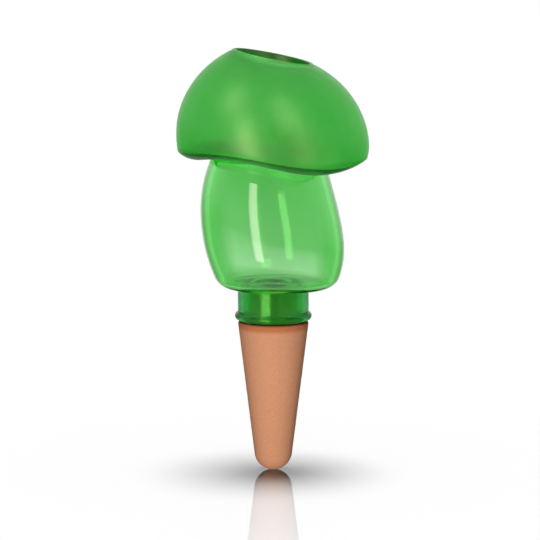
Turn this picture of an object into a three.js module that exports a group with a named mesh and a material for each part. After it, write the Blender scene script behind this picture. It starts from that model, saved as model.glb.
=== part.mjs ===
// Mushroom-shaped plant waterer: a clear plastic reservoir on a porous clay cone.
// Millimetres, +Z up. The origin is on the neck's axis at the soil line, which is the clay cone's rim.
// The photo looks along +Y, with +X to its right.

import * as THREE from "three";

// Shared fits
const SEGMENTS = 40;
const PLUG_FIT = 0.3; // radial clearance of a plug in its bore
const SEAT_GAP = 0.15; // between faces that rest on each other
const BOND_GAP = 0.1; // between the bond ring and what it holds

// Clay cone
const CONE_RIM_RADIUS = 17.8;
const CONE_LENGTH = 76;
const CONE_TIP_RADIUS = 9.5;
const CONE_WALL = 4.4;
const CONE_RIM_ROUND = 1.3;
const SOCKET_DEPTH = 13;

// Collar, its bead and the bond that holds its spigot in the cone
const COLLAR_WALL = 2.2;
const COLLAR_PARTING = 0.45; // open line between the collar and the stem's base
const COLLAR_EDGE_ROUND = 0.6;
const BEAD_HEIGHT = 4;
const BEAD_OVERHANG = 1.5;
const BEAD_LIFT = 0.6; // from the collar's foot up to the bead
const LEDGE_THICKNESS = 1.6;
const SPIGOT_WALL = 2;
const SPIGOT_END_GAP = 0.8; // from the spigot's end to the socket's floor
const TUBE_WALL = 2.2; // the tube that stands inside the neck
const BOND_THICKNESS = 1;

// Seal rings
const GASKET_THICKNESS = 1.5;
const SEAL_THICKNESS = 1.5;

// Stem: a barrel of two arcs that meet at its belly, with rounded ends
const STEM_WALL = 4;
const INNER_ROUND = 3; // inside, at the floor and under the shoulder
const FLOOR_THICKNESS = 2.6; // at the neck
const FLOOR_RISE = 0.8; // of the floor, from the neck out to the wall
const NECK_RADIUS = 15.3;
const NECK_WALL = 2.6;
const NECK_LENGTH = 13.5;
const NECK_FLARE = 3.4; // rounding where the neck's bore meets the floor
const BELLY_RADIUS = 35.2;
const BELLY_HEIGHT = 26; // above the stem's base
const LOWER_ARC = 57;
const UPPER_ARC = 110;
const BASE_ROUND = 8.5;
const SHOULDER_HEIGHT = 69.4; // above the stem's base
const SHOULDER_ROUND = 5.2;
const SHOULDER_LEDGE = 0.6; // flat ring between the shoulder's rounding and the mouth
const MOUTH_WALL = 2.6;
const MOUTH_HEIGHT = 3;
const BASE_SWAY = 2; // the barrel's foot stands this far to +X of the neck
const TOP_SWAY = -3.1; // and its shoulder and mouth this far to -X
const SWAY_END = 12; // the sway ends this far below the shoulder

// Cap: a full dome, cut on a slant at the top, with a wavy rim that turns in at a clear edge
const DOME_RADIUS = 48;
const DOME_RISE = 45.6;
const DOME_FULLNESS = 1.93; // exponent of the dome's outline, where 2 is an ellipse
const DOME_WALL = 3.2;
const DOME_OFFSET = 2.8; // the dome's axis, in X from the mouth's axis
const DOME_LEAN = 3.75; // the dome's -X side stands this much higher than its mean
const FILL_RADIUS = 18.2;
const FILL_LIP = 1.9; // width of the flat ring round the fill opening
const FILL_EDGE_ROUND = 0.5;
const SKIRT_ARC = 32; // radius of the wall's curve below the widest ring
const SKIRT_ANGLE = THREE.MathUtils.degToRad(12); // how far the skirt turns in before the rim's edge
const RIM_EDGE_ROUND = 0.8;
const UNDERSIDE_ARC = 15; // radius of the rim's underside
const UNDERSIDE_START = THREE.MathUtils.degToRad(50); // it faces this far below the horizontal at the edge
const UNDERSIDE_END = THREE.MathUtils.degToRad(84); // and this far at its inner end
const RIM_LEAN = 3.2; // the rim leans a little less
const RIM_WAVES = 3; // round the rim
const RIM_WAVE = 1.95;
const RIM_SAG = 0.35; // the rim is this much lower at its +X and -X sides, and higher between them
const RIM_WAVE_FADE = 18; // height above the rim over which its wave fades out

// Deck inside the cap
const DECK_THICKNESS = 2.4;
const DECK_REST_ANGLE = THREE.MathUtils.degToRad(72); // where the deck's edge starts on the rim's underside
const DECK_HUB_MARGIN = 1.2; // the hub's flat reaches this far past the mouth
const PLUG_LENGTH = 10;
const PLUG_WALL = 2.2;

// Sizes that follow from those above
const socketRadius = CONE_RIM_RADIUS - CONE_WALL;
const spigotRadius = socketRadius - BOND_THICKNESS - 2 * BOND_GAP;
const spigotBore = spigotRadius - SPIGOT_WALL;
const neckBore = NECK_RADIUS - NECK_WALL;
const tubeRadius = neckBore - PLUG_FIT;
const tubeBore = tubeRadius - TUBE_WALL;
const collarBore = NECK_RADIUS + PLUG_FIT;
const collarRadius = collarBore + COLLAR_WALL;
const ledgeZ = SEAT_GAP + LEDGE_THICKNESS;
const gasketZ = ledgeZ + SEAT_GAP;
const neckEndZ = gasketZ + GASKET_THICKNESS + SEAT_GAP;
const stemBaseZ = neckEndZ + NECK_LENGTH;
const collarTopZ = stemBaseZ - COLLAR_PARTING;
const mouthTopZ = stemBaseZ + SHOULDER_HEIGHT + MOUTH_HEIGHT;
const sealZ = mouthTopZ + SEAT_GAP;
const capSeatZ = sealZ + SEAL_THICKNESS + SEAT_GAP;
const outerBarrel = barrelArcs(0, 0, BASE_ROUND, SHOULDER_ROUND);
const innerBarrel = barrelArcs(STEM_WALL, FLOOR_THICKNESS + FLOOR_RISE, INNER_ROUND, INNER_ROUND);
const mouthRadius = outerBarrel.shoulder.x - SHOULDER_LEDGE;
const mouthBore = mouthRadius - MOUTH_WALL;
const plugRadius = mouthBore - PLUG_FIT;
const plugBore = plugRadius - PLUG_WALL;
const rim = rimSection();

const smoothStep = (value, from, to) => THREE.MathUtils.smoothstep(value, from, to);

// Turns a profile of (radius, height) points about Z. The profile runs up the outside and down the inside.
function turned(points) {
  const profile = points.filter((point, i) => i === 0 || point.distanceTo(points[i - 1]) > 1e-4);
  return new THREE.LatheGeometry(profile, SEGMENTS).rotateX(Math.PI / 2);
}

// Moves every vertex of a geometry by a rule that changes the point it is given.
function sculpted(geometry, rule) {
  const position = geometry.attributes.position;
  const point = new THREE.Vector3();
  for (let i = 0; i < position.count; i += 1) {
    point.fromBufferAttribute(position, i);
    rule(point);
    position.setXYZ(i, point.x, point.y, point.z);
  }
  geometry.computeVertexNormals();
  return geometry;
}

// A flat ring with a square section.
function flatRing(inner, outer, bottom, top) {
  const section = [
    [inner, bottom],
    [outer, bottom],
    [outer, top],
    [inner, top],
    [inner, bottom],
  ];
  return turned(section.map(([radius, height]) => new THREE.Vector2(radius, height)));
}

function piece(name, geometry, colour, roughness, opacity = 1) {
  const material = new THREE.MeshStandardMaterial({ color: colour, roughness, metalness: 0 });
  material.opacity = opacity;
  material.transparent = opacity < 1;
  const mesh = new THREE.Mesh(geometry, material);
  mesh.name = name;
  return mesh;
}

// Clay cone: the taper is the line from the rim that just touches the round tip.
// The bore runs parallel to the outside, below a straight socket for the collar's spigot.
function clayCone() {
  const tipCentreZ = CONE_TIP_RADIUS - CONE_LENGTH;
  const reach = Math.hypot(CONE_RIM_RADIUS, tipCentreZ);
  const taper = Math.acos(CONE_TIP_RADIUS / reach) - Math.atan2(-tipCentreZ, CONE_RIM_RADIUS);
  const rimRoundX = CONE_RIM_RADIUS - (CONE_RIM_ROUND * (1 + Math.sin(taper))) / Math.cos(taper);
  const boreTop = CONE_RIM_RADIUS - (CONE_WALL + SOCKET_DEPTH * Math.sin(taper)) / Math.cos(taper);
  const path = new THREE.Path();
  path.moveTo(0, -CONE_LENGTH);
  path.absarc(0, tipCentreZ, CONE_TIP_RADIUS, -Math.PI / 2, -taper, false);
  path.absarc(rimRoundX, -CONE_RIM_ROUND, CONE_RIM_ROUND, -taper, Math.PI / 2, false);
  path.lineTo(socketRadius, 0);
  path.lineTo(socketRadius, -SOCKET_DEPTH);
  path.lineTo(boreTop, -SOCKET_DEPTH);
  path.absarc(0, tipCentreZ, CONE_TIP_RADIUS - CONE_WALL, -taper, -Math.PI / 2, true);
  return turned(path.getPoints(2));
}

// Bond ring: the adhesive between the collar's spigot and the clay socket.
function bondRing() {
  const bottom = SPIGOT_END_GAP - SOCKET_DEPTH;
  return flatRing(spigotRadius + BOND_GAP, socketRadius - BOND_GAP, bottom, -BOND_GAP);
}

// Collar: a sleeve round the neck and a tube inside it, on one ledge, with a half-round bead at the sleeve's
// foot and a spigot below.
function neckCollar() {
  const spigotEnd = SPIGOT_END_GAP - SOCKET_DEPTH;
  const beadHalf = BEAD_HEIGHT / 2;
  const beadCentre = collarRadius + BEAD_OVERHANG - beadHalf;
  const beadTopAngle = Math.acos((collarRadius - beadCentre) / beadHalf);
  const path = new THREE.Path();
  path.moveTo(spigotBore, spigotEnd);
  path.lineTo(spigotRadius, spigotEnd);
  path.lineTo(spigotRadius, SEAT_GAP);
  path.lineTo(beadCentre, SEAT_GAP);
  path.absarc(beadCentre, SEAT_GAP + BEAD_LIFT + beadHalf, beadHalf, -Math.PI / 2, beadTopAngle, false);
  path.absarc(
    collarRadius - COLLAR_EDGE_ROUND,
    collarTopZ - COLLAR_EDGE_ROUND,
    COLLAR_EDGE_ROUND,
    0,
    Math.PI / 2,
    false,
  );
  path.lineTo(collarBore, collarTopZ);
  path.lineTo(collarBore, ledgeZ);
  path.lineTo(tubeRadius, ledgeZ);
  path.lineTo(tubeRadius, collarTopZ);
  path.lineTo(tubeBore, collarTopZ);
  path.lineTo(tubeBore, SEAT_GAP);
  path.lineTo(spigotBore, SEAT_GAP);
  path.lineTo(spigotBore, spigotEnd);
  return turned(path.getPoints(2));
}

// Gasket: it lies on the ledge, between the tube and the sleeve, and the neck stands on it.
function neckGasket() {
  return flatRing(neckBore, NECK_RADIUS, gasketZ, gasketZ + GASKET_THICKNESS);
}

// The barrel's outline at one distance in from the outside: radii, centres and end angles of its four arcs.
// Heights are above the stem's base.
function barrelArcs(inset, floor, baseRound, shoulderRound) {
  const lower = { radius: LOWER_ARC - inset, x: BELLY_RADIUS - LOWER_ARC };
  const upper = { radius: UPPER_ARC - inset, x: BELLY_RADIUS - UPPER_ARC };
  const base = { radius: baseRound, z: floor + baseRound };
  const shoulder = { radius: shoulderRound, z: SHOULDER_HEIGHT - inset - shoulderRound };
  lower.angle = -Math.asin((BELLY_HEIGHT - base.z) / (lower.radius - baseRound));
  upper.angle = Math.asin((shoulder.z - BELLY_HEIGHT) / (upper.radius - shoulderRound));
  base.x = lower.x + (lower.radius - baseRound) * Math.cos(lower.angle);
  shoulder.x = upper.x + (upper.radius - shoulderRound) * Math.cos(upper.angle);
  return { lower, upper, base, shoulder };
}

// How far the stem's skin stands to +X of the neck's axis, at a height above the stem's base.
// The neck stays straight, and the base fades from it to the barrel.
function stemSway(height, radius) {
  const swing = SHOULDER_HEIGHT - SWAY_END;
  const turn = Math.cos(Math.PI * THREE.MathUtils.clamp(height / swing, 0, 1));
  const sway = (BASE_SWAY + TOP_SWAY) / 2 + (turn * (BASE_SWAY - TOP_SWAY)) / 2;
  const clearOfNeck = height < swing ? smoothStep(radius, NECK_RADIUS, outerBarrel.base.x) : 1;
  return sway * clearOfNeck;
}

// Stem: neck, base, barrel, shoulder and mouth, and inside a floor that falls to the neck.
// Its heights start at the stem's base.
function stemBulb() {
  const outer = outerBarrel;
  const inner = innerBarrel;
  const mouthTop = SHOULDER_HEIGHT + MOUTH_HEIGHT;
  const belly = BELLY_HEIGHT;
  const path = new THREE.Path();
  path.moveTo(neckBore, -NECK_LENGTH);
  path.lineTo(NECK_RADIUS, -NECK_LENGTH);
  path.lineTo(NECK_RADIUS, 0);
  path.absarc(outer.base.x, outer.base.z, outer.base.radius, -Math.PI / 2, outer.lower.angle, false);
  path.absarc(outer.lower.x, belly, outer.lower.radius, outer.lower.angle, 0, false);
  path.absarc(outer.upper.x, belly, outer.upper.radius, 0, outer.upper.angle, false);
  const shoulder = outer.shoulder;
  path.absarc(shoulder.x, shoulder.z, shoulder.radius, outer.upper.angle, Math.PI / 2, false);
  path.lineTo(mouthRadius, SHOULDER_HEIGHT);
  path.lineTo(mouthRadius, mouthTop);
  path.lineTo(mouthBore, mouthTop);
  path.lineTo(mouthBore, SHOULDER_HEIGHT - STEM_WALL);
  const vault = inner.shoulder;
  path.absarc(vault.x, vault.z, vault.radius, Math.PI / 2, inner.upper.angle, true);
  path.absarc(inner.upper.x, belly, inner.upper.radius, inner.upper.angle, 0, true);
  path.absarc(inner.lower.x, belly, inner.lower.radius, 0, inner.lower.angle, true);
  path.absarc(inner.base.x, inner.base.z, inner.base.radius, inner.lower.angle, -Math.PI / 2, true);
  const flareZ = FLOOR_THICKNESS - NECK_FLARE;
  path.absarc(neckBore + NECK_FLARE, flareZ, NECK_FLARE, Math.PI / 2, Math.PI, false);
  path.lineTo(neckBore, -NECK_LENGTH);
  return sculpted(turned(path.getPoints(2)), (point) => {
    point.x += stemSway(point.z, Math.hypot(point.x, point.y));
  });
}

function mouthSeal() {
  return flatRing(mouthBore, mouthRadius, 0, SEAL_THICKNESS);
}

// Points of the dome's outline from one radius to another, with heights above its widest ring.
function domeCurve(radius, rise, fromRadius, toRadius, steps) {
  const angleAt = (at) => Math.acos((at / radius) ** (DOME_FULLNESS / 2));
  const power = 2 / DOME_FULLNESS;
  const points = [];
  for (let i = 0; i <= steps; i += 1) {
    const angle = THREE.MathUtils.lerp(angleAt(fromRadius), angleAt(toRadius), i / steps);
    const across = radius * Math.cos(angle) ** power;
    const up = rise * Math.max(Math.sin(angle), 0) ** power;
    points.push(new THREE.Vector2(across, up));
  }
  return points;
}

// A point at an angle and a distance from a centre.
function polar(centre, radius, angle) {
  return new THREE.Vector2(centre.x + radius * Math.cos(angle), centre.y + radius * Math.sin(angle));
}

// Where two circles meet, on the lower side of the line between their centres.
function circlesMeet(first, firstRadius, second, secondRadius) {
  const across = second.clone().sub(first);
  const span = across.length();
  const along = (span ** 2 + firstRadius ** 2 - secondRadius ** 2) / (2 * span);
  const off = Math.sqrt(firstRadius ** 2 - along ** 2);
  across.divideScalar(span);
  const foot = first.clone().addScaledVector(across, along);
  return foot.add(new THREE.Vector2(off * across.y, -off * across.x));
}

// The rim's section, with heights from the widest ring: centres of the arcs of skirt, edge and underside, the
// middle of the wall's round end, the corner where skirt and underside meet inside, and the depth.
function rimSection() {
  const skirt = new THREE.Vector2(DOME_RADIUS - SKIRT_ARC, 0);
  const edge = polar(skirt, SKIRT_ARC - RIM_EDGE_ROUND, -SKIRT_ANGLE);
  const underside = polar(edge, RIM_EDGE_ROUND - UNDERSIDE_ARC, -UNDERSIDE_START);
  const end = polar(underside, UNDERSIDE_ARC - DOME_WALL / 2, -UNDERSIDE_END);
  const corner = circlesMeet(skirt, SKIRT_ARC - DOME_WALL, underside, UNDERSIDE_ARC - DOME_WALL);
  const depth = UNDERSIDE_ARC * Math.sin(UNDERSIDE_END) - underside.y;
  return { skirt, edge, underside, end, corner, depth };
}

// How far the cap's skin is raised at an angle round its axis, at a height above the widest ring.
function capRaise(angle, height) {
  const fade = 1 - smoothStep(height, -rim.depth, RIM_WAVE_FADE - rim.depth);
  const lean = THREE.MathUtils.lerp(DOME_LEAN, RIM_LEAN, fade);
  const wave = RIM_WAVE * Math.cos(RIM_WAVES * angle) - RIM_SAG * Math.cos(2 * angle);
  return fade * wave - lean * Math.cos(angle);
}

// Dome: one wall from the fill opening's lip down to the turned-in rim. Its heights start at the widest ring.
function capDome() {
  const innerRadius = DOME_RADIUS - DOME_WALL;
  const lipRadius = FILL_RADIUS + FILL_LIP;
  const outside = domeCurve(DOME_RADIUS, DOME_RISE, DOME_RADIUS, lipRadius, 10);
  const inside = domeCurve(innerRadius, DOME_RISE - DOME_WALL, FILL_RADIUS, innerRadius, 10);
  const lipEdgeZ = outside.at(-1).y;
  const { skirt, edge, underside, end, corner } = rim;
  const angleFrom = (centre) => Math.atan2(corner.y - centre.y, corner.x - centre.x);
  const under = new THREE.Path();
  under.absarc(end.x, end.y, DOME_WALL / 2, Math.PI - UNDERSIDE_END, 2 * Math.PI - UNDERSIDE_END, false);
  under.absarc(underside.x, underside.y, UNDERSIDE_ARC, -UNDERSIDE_END, -UNDERSIDE_START, false);
  const side = new THREE.Path();
  side.absarc(edge.x, edge.y, RIM_EDGE_ROUND, -UNDERSIDE_START, -SKIRT_ANGLE, false);
  side.absarc(skirt.x, skirt.y, SKIRT_ARC, -SKIRT_ANGLE, 0, false);
  const lip = new THREE.Path();
  lip.absarc(lipRadius - FILL_EDGE_ROUND, lipEdgeZ, FILL_EDGE_ROUND, 0, Math.PI / 2, false);
  lip.absarc(FILL_RADIUS + FILL_EDGE_ROUND, lipEdgeZ, FILL_EDGE_ROUND, Math.PI / 2, Math.PI, false);
  const innerSide = new THREE.Path();
  innerSide.absarc(skirt.x, skirt.y, SKIRT_ARC - DOME_WALL, 0, angleFrom(skirt), true);
  const innerUnder = new THREE.Path();
  const gutter = UNDERSIDE_ARC - DOME_WALL;
  innerUnder.absarc(underside.x, underside.y, gutter, angleFrom(underside), -UNDERSIDE_END, true);
  const loop = [
    ...under.getPoints(2),
    ...side.getPoints(1),
    ...outside,
    ...lip.getPoints(1),
    ...inside,
    ...innerSide.getPoints(1),
    ...innerUnder.getPoints(2),
  ];
  loop.push(loop[0].clone());
  return sculpted(turned(loop), (point) => {
    point.z += capRaise(Math.atan2(point.y, point.x), point.z);
  });
}

// Deck: it slopes up from the inside of the dome's rim to a hub that rests on the mouth, with a plug below.
// Its edge follows the dome's axis and lean, and its hub the mouth's axis. Its heights start under the hub.
function capDeck() {
  const hub = mouthRadius + DECK_HUB_MARGIN;
  const restRadius = UNDERSIDE_ARC - DOME_WALL - PLUG_FIT;
  const edge = new THREE.Path();
  const edgeTop = DECK_THICKNESS / restRadius - DECK_REST_ANGLE;
  edge.absarc(rim.underside.x, rim.underside.y, restRadius, -DECK_REST_ANGLE, edgeTop, false);
  const edgePoints = edge.getPoints(1);
  const foot = edgePoints[0];
  const brow = edgePoints.at(-1);
  const profile = [
    new THREE.Vector2(plugBore, -PLUG_LENGTH),
    new THREE.Vector2(plugRadius, -PLUG_LENGTH),
    new THREE.Vector2(plugRadius, 0),
    new THREE.Vector2(hub, 0),
    new THREE.Vector2((hub + foot.x) / 2, foot.y / 2),
    ...edgePoints,
    new THREE.Vector2((hub + brow.x) / 2, (brow.y + DECK_THICKNESS) / 2),
    new THREE.Vector2(hub, DECK_THICKNESS),
    new THREE.Vector2(plugBore + DECK_THICKNESS / 2, DECK_THICKNESS),
    new THREE.Vector2(plugBore, DECK_THICKNESS / 2),
    new THREE.Vector2(plugBore, -PLUG_LENGTH),
  ];
  return sculpted(turned(profile), (point) => {
    const share = smoothStep(Math.hypot(point.x, point.y), hub, foot.x);
    point.z += share * capRaise(Math.atan2(point.y, point.x), point.z);
    point.x += share * DOME_OFFSET;
  });
}

// Assembly: the spike stands in the soil, the stem stands in its collar and the cap on the stem's mouth.
const waterer = new THREE.Group();
waterer.name = "plant_waterer";

const spike = new THREE.Group();
spike.name = "spike";
spike.add(piece("clay_cone", clayCone(), "#cf9470", 0.9));
spike.add(piece("bond_ring", bondRing(), "#d8d4c6", 0.6));
spike.add(piece("neck_collar", neckCollar(), "#2c7a37", 0.12, 0.8));
spike.add(piece("neck_gasket", neckGasket(), "#7fbc80", 0.6, 0.7));
waterer.add(spike);

const stem = new THREE.Group();
stem.name = "stem";
stem.position.z = stemBaseZ;
stem.add(piece("stem_bulb", stemBulb(), "#78c573", 0.06, 0.5));
waterer.add(stem);

const cap = new THREE.Group();
cap.name = "cap";
cap.position.set(TOP_SWAY, 0, capSeatZ);
const seal = piece("mouth_seal", mouthSeal(), "#7fbc80", 0.6, 0.7);
seal.position.z = sealZ - capSeatZ;
const dome = piece("cap_dome", capDome(), "#4db04b", 0.38, 0.7);
dome.position.x = DOME_OFFSET;
cap.add(seal, dome, piece("cap_deck", capDeck(), "#78c573", 0.06, 0.5));
waterer.add(cap);

export default waterer;
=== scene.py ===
"""Looks of a mushroom-shaped plant waterer: clear green plastic reservoir on a clay cone. Metres, +Z up."""
import math

import bpy
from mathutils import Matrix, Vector


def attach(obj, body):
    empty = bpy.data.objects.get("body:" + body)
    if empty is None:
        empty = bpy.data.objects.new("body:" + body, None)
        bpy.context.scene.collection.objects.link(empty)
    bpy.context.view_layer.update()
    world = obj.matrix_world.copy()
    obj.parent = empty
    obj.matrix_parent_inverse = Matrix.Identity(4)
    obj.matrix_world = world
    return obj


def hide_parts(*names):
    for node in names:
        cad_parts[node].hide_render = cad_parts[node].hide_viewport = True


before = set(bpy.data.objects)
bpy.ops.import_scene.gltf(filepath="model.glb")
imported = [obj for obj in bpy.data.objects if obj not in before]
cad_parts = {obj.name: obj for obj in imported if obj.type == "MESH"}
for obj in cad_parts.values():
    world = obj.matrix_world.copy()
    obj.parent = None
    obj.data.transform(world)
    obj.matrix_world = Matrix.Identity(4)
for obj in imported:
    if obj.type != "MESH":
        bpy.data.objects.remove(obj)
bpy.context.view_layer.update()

MM = 0.001

# Fineness of the turned surfaces
SEGMENTS = 192
ARC_STEPS = 20
LONG_STEPS = 60
BASE_STEPS = 12
SHORT_STEPS = 8
EDGE_STEPS = 6
RING_STEPS = 4
SAME_POINT = 1e-7
SHARP_ANGLE = math.radians(32)

# Shared fits
PLUG_FIT = 0.3 * MM
SEAT_GAP = 0.15 * MM
BOND_GAP = 0.1 * MM

# Clay cone
CONE_RIM_RADIUS = 17.8 * MM
CONE_LENGTH = 76 * MM
CONE_TIP_RADIUS = 9.5 * MM
CONE_WALL = 4.4 * MM
CONE_RIM_ROUND = 1.3 * MM
SOCKET_DEPTH = 13 * MM

# Collar, its bead and the bond that holds its spigot in the cone
COLLAR_WALL = 2.2 * MM
COLLAR_PARTING = 0.45 * MM
COLLAR_EDGE_ROUND = 0.6 * MM
BEAD_HEIGHT = 4 * MM
BEAD_OVERHANG = 1.5 * MM
BEAD_LIFT = 0.6 * MM
LEDGE_THICKNESS = 1.6 * MM
SPIGOT_WALL = 2 * MM
SPIGOT_END_GAP = 0.8 * MM
TUBE_WALL = 2.2 * MM
BOND_THICKNESS = 1 * MM

# Seal rings
GASKET_THICKNESS = 1.5 * MM
SEAL_THICKNESS = 1.5 * MM
RING_ROUND = 0.35 * MM

# Stem
STEM_WALL = 4 * MM
INNER_ROUND = 3 * MM
FLOOR_THICKNESS = 2.6 * MM
FLOOR_RISE = 0.8 * MM
NECK_RADIUS = 15.3 * MM
NECK_WALL = 2.6 * MM
NECK_LENGTH = 13.5 * MM
NECK_FLARE = 3.4 * MM
BELLY_RADIUS = 35.2 * MM
BELLY_HEIGHT = 26 * MM
LOWER_ARC = 57 * MM
UPPER_ARC = 110 * MM
BASE_ROUND = 8.5 * MM
SHOULDER_HEIGHT = 69.4 * MM
SHOULDER_ROUND = 5.2 * MM
SHOULDER_LEDGE = 0.6 * MM
MOUTH_WALL = 2.6 * MM
MOUTH_HEIGHT = 3 * MM
BASE_SWAY = 2 * MM
TOP_SWAY = -3.1 * MM
SWAY_END = 12 * MM

# Cap
DOME_RADIUS = 48 * MM
DOME_RISE = 45.6 * MM
DOME_FULLNESS = 1.93
DOME_WALL = 3.2 * MM
DOME_OFFSET = 2.8 * MM
DOME_LEAN = 3.75 * MM
FILL_RADIUS = 18.2 * MM
FILL_LIP = 1.9 * MM
FILL_EDGE_ROUND = 0.5 * MM
SKIRT_ARC = 32 * MM
SKIRT_ANGLE = math.radians(12)
RIM_EDGE_ROUND = 0.8 * MM
UNDERSIDE_ARC = 15 * MM
UNDERSIDE_START = math.radians(50)
UNDERSIDE_END = math.radians(84)
RIM_LEAN = 3.2 * MM
RIM_WAVES = 3
RIM_WAVE = 1.95 * MM
RIM_SAG = 0.35 * MM
RIM_WAVE_FADE = 18 * MM

# Deck inside the cap
DECK_THICKNESS = 2.4 * MM
DECK_REST_ANGLE = math.radians(72)
DECK_HUB_MARGIN = 1.2 * MM
PLUG_LENGTH = 10 * MM
PLUG_WALL = 2.2 * MM

QUARTER = math.pi / 2


def barrel_arcs(inset, floor_z, base_round, shoulder_round):
    """The four arcs of the barrel's outline at one distance in from the outside.
    Heights are above the stem's base."""
    lower = {"radius": LOWER_ARC - inset, "x": BELLY_RADIUS - LOWER_ARC, "z": BELLY_HEIGHT}
    upper = {"radius": UPPER_ARC - inset, "x": BELLY_RADIUS - UPPER_ARC, "z": BELLY_HEIGHT}
    base = {"radius": base_round, "z": floor_z + base_round}
    shoulder = {"radius": shoulder_round, "z": SHOULDER_HEIGHT - inset - shoulder_round}
    lower["angle"] = -math.asin((BELLY_HEIGHT - base["z"]) / (lower["radius"] - base_round))
    upper["angle"] = math.asin((shoulder["z"] - BELLY_HEIGHT) / (upper["radius"] - shoulder_round))
    base["x"] = lower["x"] + (lower["radius"] - base_round) * math.cos(lower["angle"])
    shoulder["x"] = upper["x"] + (upper["radius"] - shoulder_round) * math.cos(upper["angle"])
    return {"lower": lower, "upper": upper, "base": base, "shoulder": shoulder}


def polar(centre, radius, angle):
    """A point at a distance and an angle from a centre."""
    return centre[0] + radius * math.cos(angle), centre[1] + radius * math.sin(angle)


def circles_meet(first, first_radius, second, second_radius):
    """Where two circles meet, on the lower side of the line between their centres."""
    span = math.dist(first, second)
    across, up = (b - a for a, b in zip(first, second))
    along = (span**2 + first_radius**2 - second_radius**2) / (2 * span)
    off = math.sqrt(first_radius**2 - along**2)
    return first[0] + (along * across + off * up) / span, first[1] + (along * up - off * across) / span


def rim_section():
    """The rim's section, with heights from the dome's widest ring: the centres of the arcs of skirt, edge and
    underside, the middle of the wall's round end, the corner where skirt and underside meet inside,
    and the depth."""
    skirt = (DOME_RADIUS - SKIRT_ARC, 0)
    edge = polar(skirt, SKIRT_ARC - RIM_EDGE_ROUND, -SKIRT_ANGLE)
    underside = polar(edge, RIM_EDGE_ROUND - UNDERSIDE_ARC, -UNDERSIDE_START)
    end = polar(underside, UNDERSIDE_ARC - DOME_WALL / 2, -UNDERSIDE_END)
    corner = circles_meet(skirt, SKIRT_ARC - DOME_WALL, underside, UNDERSIDE_ARC - DOME_WALL)
    depth = UNDERSIDE_ARC * math.sin(UNDERSIDE_END) - underside[1]
    return {
        "skirt": skirt,
        "edge": edge,
        "underside": underside,
        "end": end,
        "corner": corner,
        "depth": depth,
    }


# Sizes that follow from those above
socket_radius = CONE_RIM_RADIUS - CONE_WALL
spigot_radius = socket_radius - BOND_THICKNESS - 2 * BOND_GAP
spigot_bore = spigot_radius - SPIGOT_WALL
neck_bore = NECK_RADIUS - NECK_WALL
tube_radius = neck_bore - PLUG_FIT
tube_bore = tube_radius - TUBE_WALL
collar_bore = NECK_RADIUS + PLUG_FIT
collar_radius = collar_bore + COLLAR_WALL
spigot_end_z = SPIGOT_END_GAP - SOCKET_DEPTH
ledge_z = SEAT_GAP + LEDGE_THICKNESS
gasket_z = ledge_z + SEAT_GAP
neck_end_z = gasket_z + GASKET_THICKNESS + SEAT_GAP
stem_base_z = neck_end_z + NECK_LENGTH
collar_top_z = stem_base_z - COLLAR_PARTING
mouth_top_z = stem_base_z + SHOULDER_HEIGHT + MOUTH_HEIGHT
seal_z = mouth_top_z + SEAT_GAP
cap_seat_z = seal_z + SEAL_THICKNESS + SEAT_GAP
outer_barrel = barrel_arcs(0, 0, BASE_ROUND, SHOULDER_ROUND)
inner_barrel = barrel_arcs(STEM_WALL, FLOOR_THICKNESS + FLOOR_RISE, INNER_ROUND, INNER_ROUND)
mouth_radius = outer_barrel["shoulder"]["x"] - SHOULDER_LEDGE
mouth_bore = mouth_radius - MOUTH_WALL
plug_radius = mouth_bore - PLUG_FIT
plug_bore = plug_radius - PLUG_WALL
rim = rim_section()
dome_axis_x = TOP_SWAY + DOME_OFFSET


def lerp(start, end, share):
    """A value part of the way from start to end."""
    return start + (end - start) * share


def smooth_step(value, low, high):
    """0 up to low, 1 from high on, with a smooth rise between."""
    share = min(max((value - low) / (high - low), 0), 1)
    return share * share * (3 - 2 * share)


def arc(x, z, radius, start, end, steps=ARC_STEPS):
    """Points (radius, height) on an arc about (x, z)."""
    angles = [lerp(start, end, i / steps) for i in range(steps + 1)]
    return [(x + radius * math.cos(angle), z + radius * math.sin(angle)) for angle in angles]


def line(start, end, steps):
    """Points from start to end, both included."""
    return [tuple(lerp(a, b, i / steps) for a, b in zip(start, end)) for i in range(steps + 1)]


def turned(name, profile, move=None):
    """A closed profile of (radius, height) points, up the outside and down the inside, turned about Z.
    Each point then goes where the rule in move sends it."""
    points = [p for i, p in enumerate(profile) if math.dist(p, profile[i - 1]) > SAME_POINT]
    vertices = []
    rings = []
    for radius, height in points:
        count = 1 if radius < SAME_POINT else SEGMENTS
        rings.append([len(vertices) + j % count for j in range(SEGMENTS)])
        for j in range(count):
            turn = math.tau * j / SEGMENTS
            place = Vector((radius * math.cos(turn), radius * math.sin(turn), height))
            vertices.append(move(place) if move else place)
    faces = []
    for i, ring in enumerate(rings):
        following = rings[(i + 1) % len(rings)]
        if ring[0] == ring[1] and following[0] == following[1]:
            continue
        for j in range(SEGMENTS):
            k = (j + 1) % SEGMENTS
            corners = (ring[j], ring[k], following[k], following[j])
            faces.append(tuple(dict.fromkeys(corners)))
    mesh = bpy.data.meshes.new(name)
    mesh.from_pydata(vertices, [], faces)
    mesh.shade_smooth()
    mesh.set_sharp_from_angle(angle=SHARP_ANGLE)
    piece = bpy.data.objects.new(name, mesh)
    bpy.context.scene.collection.objects.link(piece)
    return piece


def shifted(dx, dz):
    """A rule for turned() that moves a whole piece."""
    offset = Vector((dx, 0, dz))
    return lambda place: place + offset


def dress(piece, material, node, body):
    """Gives a piece its material and puts it in the place of one of the part's solids."""
    piece.data.materials.append(material)
    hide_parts(node)
    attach(piece, body)
    return piece


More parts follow.
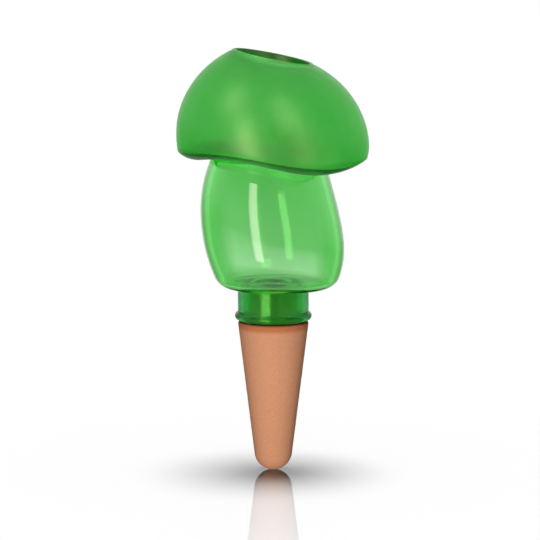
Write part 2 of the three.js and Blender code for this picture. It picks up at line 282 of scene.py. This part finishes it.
def round_ring(inner, outer, bottom, top):
    """Profile of a flat ring with eased edges."""
    r = RING_ROUND
    return [
        *arc(inner + r, bottom + r, r, 2 * QUARTER, 3 * QUARTER, RING_STEPS),
        *arc(outer - r, bottom + r, r, 3 * QUARTER, 4 * QUARTER, RING_STEPS),
        *arc(outer - r, top - r, r, 0, QUARTER, RING_STEPS),
        *arc(inner + r, top - r, r, QUARTER, 2 * QUARTER, RING_STEPS),
    ]


# Shapes of the pieces
def clay_cone():
    """Hollow cone with a round tip, a rounded rim and a socket for the spigot."""
    tip_z = CONE_TIP_RADIUS - CONE_LENGTH
    reach = math.hypot(CONE_RIM_RADIUS, tip_z)
    taper = math.acos(CONE_TIP_RADIUS / reach) - math.atan2(-tip_z, CONE_RIM_RADIUS)
    lip_x = CONE_RIM_RADIUS - CONE_RIM_ROUND * (1 + math.sin(taper)) / math.cos(taper)
    bore_top = CONE_RIM_RADIUS - (CONE_WALL + SOCKET_DEPTH * math.sin(taper)) / math.cos(taper)
    tip = arc(0, tip_z, CONE_TIP_RADIUS, -QUARTER, -taper)
    lip = arc(lip_x, -CONE_RIM_ROUND, CONE_RIM_ROUND, -taper, QUARTER)
    bore = arc(0, tip_z, CONE_TIP_RADIUS - CONE_WALL, -taper, -QUARTER)
    profile = [
        (0, -CONE_LENGTH),
        *tip[1:],
        *line(tip[-1], lip[0], LONG_STEPS),
        *lip,
        (socket_radius, 0),
        (socket_radius, -SOCKET_DEPTH),
        *line((bore_top, -SOCKET_DEPTH), bore[0], LONG_STEPS),
        *bore[:-1],
        (0, bore[-1][1]),
    ]
    return turned("clay_cone_fired", profile)


def bond_ring():
    """Ring of adhesive that fills the socket round the spigot."""
    profile = round_ring(spigot_radius + BOND_GAP, socket_radius - BOND_GAP, spigot_end_z, -BOND_GAP)
    return turned("bond_ring_set", profile)


def neck_collar():
    """Sleeve with a bead, an inner tube and a ledge between them, on a spigot."""
    bead_half = BEAD_HEIGHT / 2
    bead_x = collar_radius + BEAD_OVERHANG - bead_half
    bead_top = math.acos((collar_radius - bead_x) / bead_half)
    edge = COLLAR_EDGE_ROUND
    profile = [
        (spigot_bore, spigot_end_z),
        (spigot_radius, spigot_end_z),
        (spigot_radius, SEAT_GAP),
        *arc(bead_x, SEAT_GAP + BEAD_LIFT + bead_half, bead_half, -QUARTER, bead_top),
        *arc(collar_radius - edge, collar_top_z - edge, edge, 0, QUARTER, EDGE_STEPS),
        (collar_bore, collar_top_z),
        (collar_bore, ledge_z),
        (tube_radius, ledge_z),
        *arc(tube_radius - edge, collar_top_z - edge, edge, 0, QUARTER, EDGE_STEPS),
        *arc(tube_bore + edge, collar_top_z - edge, edge, QUARTER, 2 * QUARTER, EDGE_STEPS),
        (tube_bore, SEAT_GAP),
        (spigot_bore, SEAT_GAP),
    ]
    return turned("neck_collar_clear", profile)


def neck_gasket():
    """Seal ring on the collar's ledge, under the neck."""
    profile = round_ring(neck_bore, NECK_RADIUS, gasket_z, gasket_z + GASKET_THICKNESS)
    return turned("neck_gasket_rubber", profile)


def stem_sway(height, radius):
    """How far the stem's skin stands to +X of the neck's axis, at a height above the stem's base."""
    swing = SHOULDER_HEIGHT - SWAY_END
    turn = math.cos(math.pi * min(max(height / swing, 0), 1))
    sway = (BASE_SWAY + TOP_SWAY) / 2 + turn * (BASE_SWAY - TOP_SWAY) / 2
    clear_of_neck = smooth_step(radius, NECK_RADIUS, outer_barrel["base"]["x"]) if height < swing else 1
    return sway * clear_of_neck


def stem_bulb():
    """Hollow barrel with a mouth above and a neck below, swayed along X."""
    mouth_top = SHOULDER_HEIGHT + MOUTH_HEIGHT
    floor_edge = (inner_barrel["base"]["x"], FLOOR_THICKNESS + FLOOR_RISE)
    flare_x = neck_bore + NECK_FLARE

    def stretch(arcs, name, start, end, steps):
        """Points on one of the barrel's arcs."""
        part = arcs[name]
        return arc(part["x"], part["z"], part["radius"], start, end, steps)

    def wall(arcs):
        """One side of the wall from the base up to the shoulder."""
        low, high = arcs["lower"]["angle"], arcs["upper"]["angle"]
        return [
            *stretch(arcs, "base", -QUARTER, low, ARC_STEPS),
            *stretch(arcs, "lower", low, 0, LONG_STEPS),
            *stretch(arcs, "upper", 0, high, LONG_STEPS),
            *stretch(arcs, "shoulder", high, QUARTER, ARC_STEPS),
        ]

    profile = [
        (neck_bore, -NECK_LENGTH),
        *line((NECK_RADIUS, -NECK_LENGTH), (NECK_RADIUS, 0), EDGE_STEPS),
        *line((NECK_RADIUS, 0), (outer_barrel["base"]["x"], 0), BASE_STEPS),
        *wall(outer_barrel),
        (mouth_radius, SHOULDER_HEIGHT),
        (mouth_radius, mouth_top),
        (mouth_bore, mouth_top),
        (mouth_bore, SHOULDER_HEIGHT - STEM_WALL),
        *reversed(wall(inner_barrel)),
        *line(floor_edge, (flare_x, FLOOR_THICKNESS), SHORT_STEPS),
        *arc(flare_x, FLOOR_THICKNESS - NECK_FLARE, NECK_FLARE, QUARTER, 2 * QUARTER),
    ]

    def sway(place):
        shift = stem_sway(place.z, math.hypot(place.x, place.y))
        return place + Vector((shift, 0, stem_base_z))

    return turned("stem_bulb_clear", profile, sway)


def mouth_seal():
    """Seal ring on the mouth's rim."""
    profile = round_ring(mouth_bore, mouth_radius, seal_z, seal_z + SEAL_THICKNESS)
    return turned("mouth_seal_silicone", profile, shifted(TOP_SWAY, 0))


def dome_curve(radius, rise, start_radius, end_radius, steps):
    """Points of the dome's outline from one radius to another, with heights above its widest ring."""
    power = 2 / DOME_FULLNESS
    start, end = (math.acos((r / radius) ** (DOME_FULLNESS / 2)) for r in (start_radius, end_radius))
    angles = [lerp(start, end, i / steps) for i in range(steps + 1)]
    return [(radius * math.cos(a) ** power, rise * max(math.sin(a), 0) ** power) for a in angles]


def cap_raise(turn, height):
    """How far the cap's skin is raised at an angle round its axis, at a height above the widest ring."""
    fade = 1 - smooth_step(height, -rim["depth"], RIM_WAVE_FADE - rim["depth"])
    lean = lerp(DOME_LEAN, RIM_LEAN, fade)
    wave = RIM_WAVE * math.cos(RIM_WAVES * turn) - RIM_SAG * math.cos(2 * turn)
    return fade * wave - lean * math.cos(turn)


def cap_dome():
    """Shell with a slanted fill opening and a wavy, turned-in rim."""
    inner_radius = DOME_RADIUS - DOME_WALL
    lip_radius = FILL_RADIUS + FILL_LIP
    edge = FILL_EDGE_ROUND
    outside = dome_curve(DOME_RADIUS, DOME_RISE, DOME_RADIUS, lip_radius, LONG_STEPS)
    inside = dome_curve(inner_radius, DOME_RISE - DOME_WALL, FILL_RADIUS, inner_radius, LONG_STEPS)
    lip_z = outside[-1][1]

    def corner_from(name):
        """The angle at which an arc of the rim reaches the inner corner."""
        return math.atan2(rim["corner"][1] - rim[name][1], rim["corner"][0] - rim[name][0])

    profile = [
        *arc(*rim["end"], DOME_WALL / 2, math.pi - UNDERSIDE_END, math.tau - UNDERSIDE_END),
        *arc(*rim["underside"], UNDERSIDE_ARC, -UNDERSIDE_END, -UNDERSIDE_START),
        *arc(*rim["edge"], RIM_EDGE_ROUND, -UNDERSIDE_START, -SKIRT_ANGLE, SHORT_STEPS),
        *arc(*rim["skirt"], SKIRT_ARC, -SKIRT_ANGLE, 0),
        *outside,
        *arc(lip_radius - edge, lip_z, edge, 0, QUARTER, EDGE_STEPS),
        *arc(FILL_RADIUS + edge, lip_z, edge, QUARTER, 2 * QUARTER, EDGE_STEPS),
        *inside,
        *arc(*rim["skirt"], SKIRT_ARC - DOME_WALL, 0, corner_from("skirt")),
        *arc(*rim["underside"], UNDERSIDE_ARC - DOME_WALL, corner_from("underside"), -UNDERSIDE_END),
    ]

    def place_on_cap(place):
        raised = cap_raise(math.atan2(place.y, place.x), place.z)
        return place + Vector((dome_axis_x, 0, cap_seat_z + raised))

    return turned("cap_dome_satin", profile, place_on_cap)


def cap_deck():
    """Deck that closes the cap from below, with a plug for the stem's mouth."""
    hub = mouth_radius + DECK_HUB_MARGIN
    rest_radius = UNDERSIDE_ARC - DOME_WALL - PLUG_FIT
    edge_end = DECK_THICKNESS / rest_radius - DECK_REST_ANGLE
    edge = arc(*rim["underside"], rest_radius, -DECK_REST_ANGLE, edge_end, SHORT_STEPS)
    profile = [
        (plug_bore, -PLUG_LENGTH),
        (plug_radius, -PLUG_LENGTH),
        (plug_radius, 0),
        *line((hub, 0), edge[0], ARC_STEPS),
        *edge,
        *line(edge[-1], (hub, DECK_THICKNESS), ARC_STEPS),
        (plug_bore + DECK_THICKNESS / 2, DECK_THICKNESS),
        (plug_bore, DECK_THICKNESS / 2),
    ]

    def follow_dome(place):
        share = smooth_step(math.hypot(place.x, place.y), hub, edge[0][0])
        raised = share * cap_raise(math.atan2(place.y, place.x), place.z)
        return place + Vector((TOP_SWAY + share * DOME_OFFSET, 0, cap_seat_z + raised))

    return turned("cap_deck_clear", profile, follow_dome)


# Node helpers
NOISE_LOW = 0.3
NOISE_HIGH = 0.7


def new_material(name):
    """A node material with its tree, its principled shader and its output."""
    material = bpy.data.materials.new(name)
    material.use_nodes = True
    nodes = material.node_tree.nodes
    return material, material.node_tree, nodes["Principled BSDF"], nodes["Material Output"]


def add_node(tree, kind, links=None, **settings):
    """A node with some settings. Each input is given as a value or as the socket that feeds it."""
    node = tree.nodes.new(kind)
    for key, value in settings.items():
        setattr(node, key, value)
    for key, value in (links or {}).items():
        if isinstance(value, bpy.types.NodeSocket):
            tree.links.new(value, node.inputs[key])
        else:
            node.inputs[key].default_value = value
    return node


def own_coordinates(tree):
    """The piece's own coordinates, in metres."""
    return add_node(tree, "ShaderNodeTexCoord").outputs["Object"]


def parts_of(tree, vector):
    """A vector's parts along X, Y and Z, by name."""
    return add_node(tree, "ShaderNodeSeparateXYZ", {"Vector": vector}).outputs


def number_math(tree, operation, first, second):
    """What an operation makes of two numbers."""
    return add_node(tree, "ShaderNodeMath", {0: first, 1: second}, operation=operation).outputs[0]


def vector_math(tree, operation, first, second):
    """The vector that an operation makes of two vectors or colours."""
    return add_node(tree, "ShaderNodeVectorMath", {0: first, 1: second}, operation=operation).outputs[0]


def from_axis(tree, place):
    """The level way from the Z axis to a place, and its length."""
    level = vector_math(tree, "MULTIPLY", place, (1, 1, 0))
    length = add_node(tree, "ShaderNodeVectorMath", {0: level}, operation="LENGTH")
    return level, length.outputs["Value"]


def fading(tree, value, start, end):
    """0 where the value is at start or before it, 1 at end or past it."""
    links = {"Value": value, "From Min": start, "From Max": end}
    return add_node(tree, "ShaderNodeMapRange", links).outputs["Result"]


def blotches(tree, where, size, detail=2.0, roughness=0.5):
    """Soft noise from 0 to 1 with patches of about that size."""
    links = {"Vector": where, "Scale": 1 / size, "Detail": detail, "Roughness": roughness}
    return add_node(tree, "ShaderNodeTexNoise", links).outputs["Fac"]


def spread(tree, noise, low, high):
    """The middle range of a noise spread from low to high."""
    links = {"Value": noise, "From Min": NOISE_LOW, "From Max": NOISE_HIGH, "To Min": low, "To Max": high}
    return add_node(tree, "ShaderNodeMapRange", links).outputs["Result"]


def blend_colours(tree, share, first, second):
    """One colour turning into another with share."""
    node = add_node(tree, "ShaderNodeMix", data_type="RGBA")
    tree.links.new(share, node.inputs["Factor"])
    for name, colour in (("A", first), ("B", second)):
        socket = next(s for s in node.inputs if s.name == name and s.type == "RGBA")
        if isinstance(colour, bpy.types.NodeSocket):
            tree.links.new(colour, socket)
        else:
            socket.default_value = (*colour, 1)
    return next(s for s in node.outputs if s.type == "RGBA")


def bump(tree, height, distance, strength):
    """A normal that follows a height from 0 to 1, with the distance that 1 stands for."""
    links = {"Height": height, "Distance": distance, "Strength": strength}
    return add_node(tree, "ShaderNodeBump", links).outputs["Normal"]


# Places on the cap where shade is painted into the colour: under the rim and round the fill opening
UNDERSIDE_SHADE_SLOPE = (-0.45, -0.7)
UNDERSIDE_SHADE_HEIGHT = (cap_seat_z + 8 * MM, cap_seat_z + 2 * MM)
OPENING_SHADE_FACING = (0, -2 * MM)
OPENING_SHADE_REACH = (FILL_RADIUS + 5 * MM, FILL_RADIUS + 2 * MM)


def painted_underside_shade(tree):
    """1 on the faces of the cap's rim that look down, where shade is painted, 0 elsewhere."""
    places = add_node(tree, "ShaderNodeTexCoord").outputs
    down = fading(tree, parts_of(tree, places["Normal"])["Z"], *UNDERSIDE_SHADE_SLOPE)
    low = fading(tree, parts_of(tree, places["Object"])["Z"], *UNDERSIDE_SHADE_HEIGHT)
    return number_math(tree, "MULTIPLY", down, low)


def painted_opening_shade(tree):
    """1 on the inside of the cap's wall round the fill opening, where shade is painted, 0 elsewhere."""
    places = add_node(tree, "ShaderNodeTexCoord").outputs
    axis = (dome_axis_x, 0, 0)
    outward, distance = from_axis(tree, vector_math(tree, "SUBTRACT", places["Object"], axis))
    directions = {0: outward, 1: places["Normal"]}
    facing = add_node(tree, "ShaderNodeVectorMath", directions, operation="DOT_PRODUCT").outputs["Value"]
    inside = fading(tree, facing, *OPENING_SHADE_FACING)
    near = fading(tree, distance, *OPENING_SHADE_REACH)
    return number_math(tree, "MULTIPLY", inside, near)


# Clear plastics
PLASTIC_IOR = 1.55
TINT_PATCH = 5 * MM
POLISH_PATCH = 2.5 * MM


def clear_plastic(name, tint, absorbed, rough, ripple, darker=(), gloss=(1, 1, 1), coat=0):
    """Tinted clear plastic: light loses colour along its way through the wall.
    tint is a pair of near colours at the surface. absorbed is what a metre of wall takes, as an exponent for
    each colour. rough is the range of roughness, and ripple the height and size of the moulded unevenness.
    darker lists places on the piece where shade is painted into the colour, each a mask with its shade
    colour. gloss tints what the surface mirrors."""
    material, tree, shader, output = new_material(name)
    where = own_coordinates(tree)
    colour = blend_colours(tree, blotches(tree, where, TINT_PATCH), *tint)
    # Painted shade: at each listed place the colour darkens towards that place's shade colour
    for place, shade in darker:
        colour = blend_colours(tree, place(tree), colour, shade)
    tree.links.new(colour, shader.inputs["Base Color"])
    polish = blotches(tree, where, POLISH_PATCH, detail=3.0)
    tree.links.new(spread(tree, polish, *rough), shader.inputs["Roughness"])
    height, size = ripple
    tree.links.new(bump(tree, blotches(tree, where, size), height, strength=1), shader.inputs["Normal"])
    shader.inputs["Transmission Weight"].default_value = 1
    shader.inputs["IOR"].default_value = PLASTIC_IOR
    shader.inputs["Specular Tint"].default_value = (*gloss, 1)
    shader.inputs["Coat Weight"].default_value = coat
    density = max(absorbed)
    volume = add_node(tree, "ShaderNodeVolumeAbsorption", {"Density": density})
    volume.inputs["Color"].default_value = (*[1 - value / density for value in absorbed], 1)
    tree.links.new(volume.outputs["Volume"], output.inputs["Volume"])
    return material


cap_plastic = clear_plastic(
    "cap_plastic",
    tint=((0.315, 0.78, 0.385), (0.46, 0.86, 0.54)),
    absorbed=(130, 0, 140),
    rough=(0.32, 0.4),
    ripple=(0.02 * MM, 3 * MM),
    # Painted shade: dark green where the rim looks down, and darker inside the wall round the fill opening
    darker=((painted_underside_shade, (0.03, 0.14, 0.08)), (painted_opening_shade, (0.015, 0.07, 0.06))),
    gloss=(0.75, 1, 0.5),
)
stem_plastic = clear_plastic(
    "stem_plastic",
    tint=((0.55, 0.91, 0.54), (0.60, 0.94, 0.59)),
    absorbed=(100, 14, 105),
    rough=(0.01, 0.03),
    ripple=(0.01 * MM, 9 * MM),
    coat=0.4,
)
collar_plastic = clear_plastic(
    "collar_plastic",
    tint=((0.26, 0.70, 0.32), (0.31, 0.74, 0.37)),
    absorbed=(140, 26, 95),
    rough=(0.16, 0.22),
    ripple=(0.005 * MM, 5 * MM),
    gloss=(0.3, 1, 0.15),
)
seal_rubber = clear_plastic(
    "seal_rubber",
    tint=((0.9, 0.97, 0.9), (0.96, 1.0, 0.96)),
    absorbed=(150, 40, 150),
    rough=(0.25, 0.35),
    ripple=(0.01 * MM, 2 * MM),
)


# Fired clay
CLAY_BODY = ((0.60, 0.27, 0.14), (0.69, 0.33, 0.18))
CLAY_PORES = (0.56, 0.248, 0.127)
CLAY_RIM = (0.44, 0.125, 0.03)
CLAY_RIM_SHARE = 0.8
CLAY_RIM_LOW = -5 * MM
CLAY_RIM_HIGH = -2 * MM
CLAY_PATCH = 16 * MM
CLAY_GRAIN = 0.9 * MM
CLAY_GRAIN_DEPTH = 0.08 * MM
CLAY_GRAIN_STRENGTH = 0.6
CLAY_ROUGHNESS = 0.9


def fired_clay():
    """Unglazed clay with pale patches, dark pores and an orange band below its rim."""
    material, tree, shader, _ = new_material("unglazed_clay")
    where = own_coordinates(tree)
    body = blend_colours(tree, blotches(tree, where, CLAY_PATCH, detail=4.0), *CLAY_BODY)
    grain = spread(tree, blotches(tree, where, CLAY_GRAIN, detail=3.0, roughness=0.65), 0, 1)
    colour = blend_colours(tree, grain, CLAY_PORES, body)
    height = parts_of(tree, where)["Z"]
    band = {"Value": height, "From Min": CLAY_RIM_LOW, "From Max": CLAY_RIM_HIGH, "To Max": CLAY_RIM_SHARE}
    near_rim = add_node(tree, "ShaderNodeMapRange", band, interpolation_type="SMOOTHSTEP").outputs["Result"]
    colour = blend_colours(tree, near_rim, colour, CLAY_RIM)
    tree.links.new(colour, shader.inputs["Base Color"])
    shader.inputs["Roughness"].default_value = CLAY_ROUGHNESS
    tree.links.new(bump(tree, grain, CLAY_GRAIN_DEPTH, CLAY_GRAIN_STRENGTH), shader.inputs["Normal"])
    return material


# Set adhesive of the bond ring
BOND_COLOURS = ((0.5145, 0.4935, 0.42375), (0.686, 0.658, 0.565))
BOND_PATCH = 4 * MM
BOND_GRAIN = 1 * MM
BOND_ROUGHNESS = (0.5, 0.7)


def set_adhesive():
    """Pale, matt adhesive with darker patches."""
    material, tree, shader, _ = new_material("bond")
    where = own_coordinates(tree)
    colour = blend_colours(tree, blotches(tree, where, BOND_PATCH), *BOND_COLOURS)
    tree.links.new(colour, shader.inputs["Base Color"])
    rough = spread(tree, blotches(tree, where, BOND_GRAIN), *BOND_ROUGHNESS)
    tree.links.new(rough, shader.inputs["Roughness"])
    return material


clay = fired_clay()
bond = set_adhesive()

# The eight pieces, each in place of its solid
cone = dress(clay_cone(), clay, "clay_cone", "spike")
dress(bond_ring(), bond, "bond_ring", "spike")
collar = dress(neck_collar(), collar_plastic, "neck_collar", "spike")
dress(neck_gasket(), seal_rubber, "neck_gasket", "gasket")
stem = dress(stem_bulb(), stem_plastic, "stem_bulb", "reservoir")
dress(mouth_seal(), seal_rubber, "mouth_seal", "seal")
cap = dress(cap_dome(), cap_plastic, "cap_dome", "cap")
deck = dress(cap_deck(), stem_plastic, "cap_deck", "cap")

# The clay throws no red light on the floor, and light falls through the clear cap
cone.visible_diffuse = False
cap.visible_shadow = False
deck.visible_shadow = False


# Floor
FLOOR_Z = -CONE_LENGTH
FLOOR_HALF_WIDTH = 3.0
FLOOR_ALBEDO = 0.99
FLOOR_BOUNCE = 0.22
MIRROR_SHARE = 0.36
MIRROR_REACH = 0.36
MIRROR_COLOUR = (0.92, 0.92, 0.92, 1)


def pale_floor():
    """The floor's material: pale and matt, with a mirror image that fades away from the object."""
    material, tree, shader, output = new_material("pale_floor")
    tree.nodes.remove(shader)
    seen = add_node(tree, "ShaderNodeLightPath").outputs["Is Camera Ray"]
    colour = blend_colours(tree, seen, (FLOOR_BOUNCE,) * 3, (FLOOR_ALBEDO,) * 3)
    matt = add_node(tree, "ShaderNodeBsdfDiffuse", {"Color": colour})
    mirror = add_node(tree, "ShaderNodeBsdfGlossy", {"Color": MIRROR_COLOUR, "Roughness": 0})
    _, distance = from_axis(tree, own_coordinates(tree))
    reach = {"Value": distance, "From Max": MIRROR_REACH, "To Min": MIRROR_SHARE, "To Max": 0}
    share = add_node(tree, "ShaderNodeMapRange", reach, interpolation_type="SMOOTHSTEP").outputs["Result"]
    both = add_node(tree, "ShaderNodeMixShader", {0: share, 1: matt.outputs[0], 2: mirror.outputs[0]})
    tree.links.new(both.outputs[0], output.inputs["Surface"])
    return material


def floor():
    """A square of floor under the cone's tip, which the pieces do not mirror or show."""
    mesh = bpy.data.meshes.new("floor")
    half = FLOOR_HALF_WIDTH
    corners = [(half * x, half * y, FLOOR_Z) for x, y in ((-1, -1), (1, -1), (1, 1), (-1, 1))]
    mesh.from_pydata(corners, [], [(0, 1, 2, 3)])
    mesh.materials.append(pale_floor())
    piece = bpy.data.objects.new("floor", mesh)
    bpy.context.scene.collection.objects.link(piece)
    piece.visible_glossy = False
    piece.visible_transmission = False
    piece.visible_shadow = False


floor()


# Surround
AMBIENT = (0.03, 0.03, 0.031)
BACKDROP = (0.8, 0.8, 0.8)
WHITE = (1, 1, 1)
# Each pair is the sine of a direction's height, or its part along X, and the brightness there
MIRRORED_IN_FRONT = ((-1, 0.8), (-0.1, 0.8), (0.1, 0.6), (0.4, 0.1), (1, 0.1))
MIRRORED_BEHIND = ((-1, 0.04), (-0.15, 0.06), (0.1, 0.5), (1, 0.5))
SHOWN_BY_HEIGHT = ((-1, 0.9), (-0.8, 0.9), (-0.6, 1), (1, 1))
SHOWN_BY_SIDE = ((-1, 1), (-0.6, 1), (-0.2, 0.64), (0.2, 0.64), (0.6, 1), (1, 1))
# Parts along Y between which the back turns into the front, and into the bright backdrop
BACK_TO_FRONT = (0.1, -0.4)
BACK_TO_BACKDROP = (0.82, 0.95)


def ramp(tree, value, stops):
    """A grey that follows the stops over values from -1 to 1."""
    node = add_node(tree, "ShaderNodeValToRGB", {"Fac": fading(tree, value, -1, 1)})
    elements = node.color_ramp.elements
    elements[0].color = (stops[0][1],) * 3 + (1,)
    elements[1].color = (stops[-1][1],) * 3 + (1,)
    for at, grey in stops[1:-1]:
        elements.new((at + 1) / 2).color = (grey, grey, grey, 1)
    return node.outputs["Color"]


def studio_world():
    """White behind the object, a surround for what plastic mirrors and shows, and a faint light all round."""
    world = bpy.data.worlds.new("studio")
    bpy.context.scene.world = world
    world.use_nodes = True
    tree = world.node_tree
    tree.nodes.clear()
    path = add_node(tree, "ShaderNodeLightPath").outputs
    part = parts_of(tree, add_node(tree, "ShaderNodeTexCoord").outputs["Generated"])
    behind = ramp(tree, part["Z"], MIRRORED_BEHIND)
    in_front = ramp(tree, part["Z"], MIRRORED_IN_FRONT)
    mirrored = blend_colours(tree, fading(tree, part["Y"], *BACK_TO_FRONT), behind, in_front)
    mirrored = blend_colours(tree, fading(tree, part["Y"], *BACK_TO_BACKDROP), mirrored, BACKDROP)
    mirrored = blend_colours(tree, path["Is Singular Ray"], mirrored, WHITE)
    by_height = ramp(tree, part["Z"], SHOWN_BY_HEIGHT)
    by_side = ramp(tree, part["X"], SHOWN_BY_SIDE)
    shown = vector_math(tree, "MULTIPLY", by_height, by_side)
    colour = blend_colours(tree, path["Is Glossy Ray"], AMBIENT, mirrored)
    colour = blend_colours(tree, path["Is Transmission Ray"], colour, shown)
    colour = blend_colours(tree, path["Is Camera Ray"], colour, WHITE)
    background = add_node(tree, "ShaderNodeBackground", {"Color": colour, "Strength": 1.0})
    output = add_node(tree, "ShaderNodeOutputWorld")
    tree.links.new(background.outputs[0], output.inputs["Surface"])


studio_world()


# Lamps
STRIP_DISTANCE = 0.9
STRIP_COLOUR = (1, 0.68, 0.84)
# Turns of the softboxes about the object, to the left of the camera
STRIP_LEFT = math.radians(26)
STRIP_RIGHT = math.radians(-25)
HIGH_LEFT = math.radians(58)
BAND_LEFT = math.radians(32)
BAND_RIGHT = math.radians(-37)
GLOW_LIFT = 6 * MM
# Sines of the turn to the back between which the table's glow rises to its full strength
GLOW_FRONT = (0.5, -0.4)


def lamp(name, kind, place, aim, **settings):
    """A lamp at a place, aimed at another, which the camera does not see."""
    data = bpy.data.lights.new(name, kind)
    for key, value in settings.items():
        setattr(data, key, value)
    light = bpy.data.objects.new(name, data)
    light.location = place
    light.rotation_mode = "QUATERNION"
    light.rotation_quaternion = (Vector(aim) - Vector(place)).to_track_quat("-Z", "Y")
    light.visible_camera = False
    bpy.context.scene.collection.objects.link(light)
    return light


def only_for(light, *pieces):
    """Lets a lamp shine on these pieces alone."""
    group = bpy.data.collections.new(light.name + "_receivers")
    for piece in pieces:
        group.objects.link(piece)
    light.light_linking.receiver_collection = group


def softbox(name, turn, width, bottom, top, radiance):
    """An upright softbox that the plastic mirrors, turned about the object to the left of the camera."""
    height = top - bottom
    middle = (bottom + top) / 2
    place = (-STRIP_DISTANCE * math.sin(turn), -STRIP_DISTANCE * math.cos(turn), middle)
    light = lamp(name, "AREA", place, (0, 0, middle), shape="RECTANGLE", size=width, size_y=height)
    light.data.color = STRIP_COLOUR
    light.data.energy = radiance * math.pi * width * height
    light.visible_diffuse = False
    return light


def table_glow(near, bright, far, radiance):
    """A lit table top in front of the object, brightest at one distance and soft at its edges."""
    glow = lamp("table_glow", "AREA", (0, 0, FLOOR_Z + GLOW_LIFT), (0, 0, 1), shape="DISK", size=2 * far)
    glow.data.energy = radiance * math.pi**2 * far**2
    glow.visible_transmission = False
    glow.data.use_nodes = True
    tree = glow.data.node_tree
    level, distance = from_axis(tree, add_node(tree, "ShaderNodeNewGeometry").outputs["Position"])
    inner_edge = fading(tree, distance, near, bright)
    outer_edge = fading(tree, distance, far, bright)
    ring = number_math(tree, "MULTIPLY", inner_edge, outer_edge)
    to_back = number_math(tree, "DIVIDE", parts_of(tree, level)["Y"], distance)
    share = number_math(tree, "MULTIPLY", ring, fading(tree, to_back, *GLOW_FRONT))
    strength = number_math(tree, "POWER", share, 2)
    tree.links.new(strength, tree.nodes["Emission"].inputs["Strength"])
    return glow


def sun(name, place, brightness, width):
    """A wide soft light from far off, which mirrors and clear walls do not show. Its width is in degrees."""
    light = lamp(name, "SUN", place, (0, 0, 0), energy=brightness * math.pi, angle=math.radians(width))
    light.visible_glossy = False
    light.visible_transmission = False


only_for(table_glow(near=0.1, bright=0.2, far=1.2, radiance=2.2), stem, collar)
softbox("strip_left", STRIP_LEFT, width=0.22, bottom=-0.415, top=0.45, radiance=4.2)
only_for(softbox("strip_collar", STRIP_LEFT, width=0.45, bottom=-0.45, top=0.45, radiance=6), collar)
only_for(softbox("band_left", BAND_LEFT, width=0.2, bottom=-0.42, top=0.72, radiance=5.4), cap)
only_for(softbox("band_right", BAND_RIGHT, width=0.3, bottom=-0.3, top=0.5, radiance=2.2), cap)
softbox("high_left", HIGH_LEFT, width=0.34, bottom=0.72, top=1.9, radiance=5.4)
softbox("strip_right", STRIP_RIGHT, width=0.2, bottom=-0.25, top=0.4, radiance=0.6)
softbox("high_right", STRIP_RIGHT, width=0.38, bottom=0.5, top=1.9, radiance=4.2)
sun("overhead", (0, 0.08, 1), brightness=0.99, width=28)
sun("front_key", (-0.12, -1, -0.14), brightness=0.99, width=20)
sun("back_fill", (0.15, 1, -0.14), brightness=0.6, width=40)

# Camera
CAMERA_PLACE = Vector((-1.65, -1640, 276)) * MM
CAMERA_AIM = Vector((-1.65, 0, 25.6)) * MM
CAMERA_SENSOR = 36
CAMERA_LENS = 221.2
camera_data = bpy.data.cameras.new("camera")
camera_data.sensor_width = CAMERA_SENSOR
camera_data.lens = CAMERA_LENS
camera = bpy.data.objects.new("camera", camera_data)
camera.location = CAMERA_PLACE
camera.rotation_mode = "QUATERNION"
camera.rotation_quaternion = (CAMERA_AIM - CAMERA_PLACE).to_track_quat("-Z", "Y")
bpy.context.scene.collection.objects.link(camera)
bpy.context.scene.camera = camera

# Light goes through many walls here
WALL_BOUNCES = 40
MIRROR_BOUNCES = 16
scene = bpy.context.scene
scene.view_settings.view_transform = "Standard"
scene.cycles.max_bounces = WALL_BOUNCES
scene.cycles.transmission_bounces = WALL_BOUNCES
scene.cycles.glossy_bounces = MIRROR_BOUNCES
scene.cycles.caustics_refractive = False
scene.cycles.caustics_reflective = False
